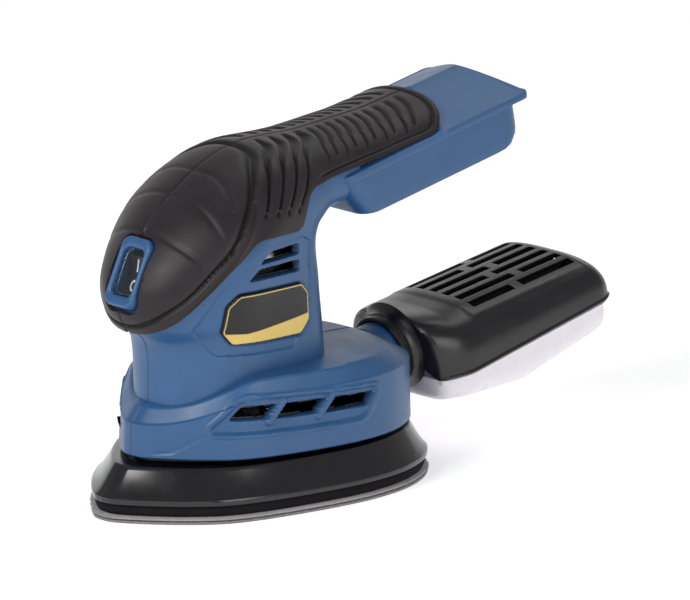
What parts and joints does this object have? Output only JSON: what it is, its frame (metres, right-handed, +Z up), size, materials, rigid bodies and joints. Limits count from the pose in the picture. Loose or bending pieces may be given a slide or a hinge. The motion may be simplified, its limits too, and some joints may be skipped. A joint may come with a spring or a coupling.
{
  "type": "detail mouse sander",
  "caption": "Cordless palm detail sander with a pointed orbiting platen, soft-grip head and handle, rocker switch, battery foot and a clip-on dust box.",
  "frame": {"origin": "on the motor's axis at the sanding face (underside of the abrasive sheet)", "axes": "+Z up along the motor's axis, -Y towards the platen's point, +Y to the dust box, +X the tool's left side"},
  "size_m": [0.0924, 0.2306, 0.1409],
  "materials": {
    "blue_plastic": "fine moulded texture",
    "soft_grip": "satin",
    "label_plate": "printed, gloss",
    "steel": "plain",
    "aluminium": "extruded",
    "brass": "plain",
    "copper": "wound copper",
    "black_plastic": "moulded",
    "circuit_board": "solder mask",
    "red_lead": "extruded",
    "black_lead": "extruded",
    "clear_boot": "clear flexible",
    "abrasive": "grit on paper",
    "hook_cloth": "hook and loop",
    "foam": "closed-cell foam",
    "post_rubber": "moulded",
    "filter_paper": "pleated paper",
    "milky_plastic": "translucent satin"
  },
  "bodies": {
    "housing_body": {"left_housing": "blue_plastic", "right_housing": "blue_plastic", "left_grip": "soft_grip", "right_grip": "soft_grip", "left_label": "label_plate", "right_label": "label_plate", "base_screw": "steel", "column_screw_lower": "steel", "column_screw_upper": "steel", "neck_screw": "steel", "handle_screw": "steel", "rear_screw": "steel", "dust_spigot": "blue_plastic", "motor_can": "steel", "motor_end_cap": "black_plastic", "upper_bearing": "steel", "lower_bearing": "steel", "motor_plate": "steel", "left_brush": "copper", "right_brush": "copper", "fan_baffle": "black_plastic", "circuit_board": "circuit_board", "heat_sink": "aluminium", "terminal_block": "black_plastic", "contact_plus": "brass", "contact_signal": "brass", "contact_minus": "brass", "battery_lead_plus": "red_lead", "battery_lead_minus": "black_lead", "motor_lead_plus": "red_lead", "motor_lead_minus": "black_lead", "switch_bezel": "blue_plastic", "switch_boot": "clear_boot", "switch_body": "black_plastic"},
    "rotor": {"motor_shaft": "steel", "armature": "copper", "commutator": "brass", "fan": "black_plastic", "counterweight": "steel"},
    "orbiting_platen": {"abrasive_sheet": "abrasive", "hook_layer": "hook_cloth", "foam_pad": "foam", "platen": "black_plastic", "platen_bearing": "steel", "post_front_left": "post_rubber", "post_front_right": "post_rubber", "post_rear_left": "post_rubber", "post_rear_right": "post_rubber", "post_screw_front_left": "steel", "post_screw_front_right": "steel", "post_screw_rear_left": "steel", "post_screw_rear_right": "steel"},
    "rocker_switch": {"rocker": "black_plastic"},
    "dust_box": {"dust_cover": "black_plastic", "filter_frame": "black_plastic", "filter_paper": "filter_paper"},
    "tray": {"dust_tray": "milky_plastic"}
  },
  "joints": [
    {"name": "rotor_spin", "type": "hinge", "parent": "housing_body", "child": "rotor", "pos_m": [0, 0, 0], "axis": [0, 0, 1], "continuous": true},
    {"name": "platen_orbit", "type": "hinge", "parent": "rotor", "child": "orbiting_platen", "pos_m": [0, 0.0008, 0], "axis": [0, 0, 1], "continuous": true},
    {"name": "rocker_tilt", "type": "hinge", "parent": "housing_body", "child": "rocker_switch", "pos_m": [0, -0.04839, 0.08745], "axis": [1, 0, 0], "range_deg": [-16, 0]},
    {"name": "dust_box_slide", "type": "slide", "parent": "housing_body", "child": "dust_box", "axis": [0, 0.9744, 0.225], "range_m": [0, 0.05]},
    {"name": "tray_slide", "type": "slide", "parent": "dust_box", "child": "tray", "axis": [0, 0.225, -0.9744], "range_m": [0, 0.03]}
  ],
  "couplings": [
    {"joint": "platen_orbit", "follows": "rotor_spin", "ratio": -1}
  ]
}
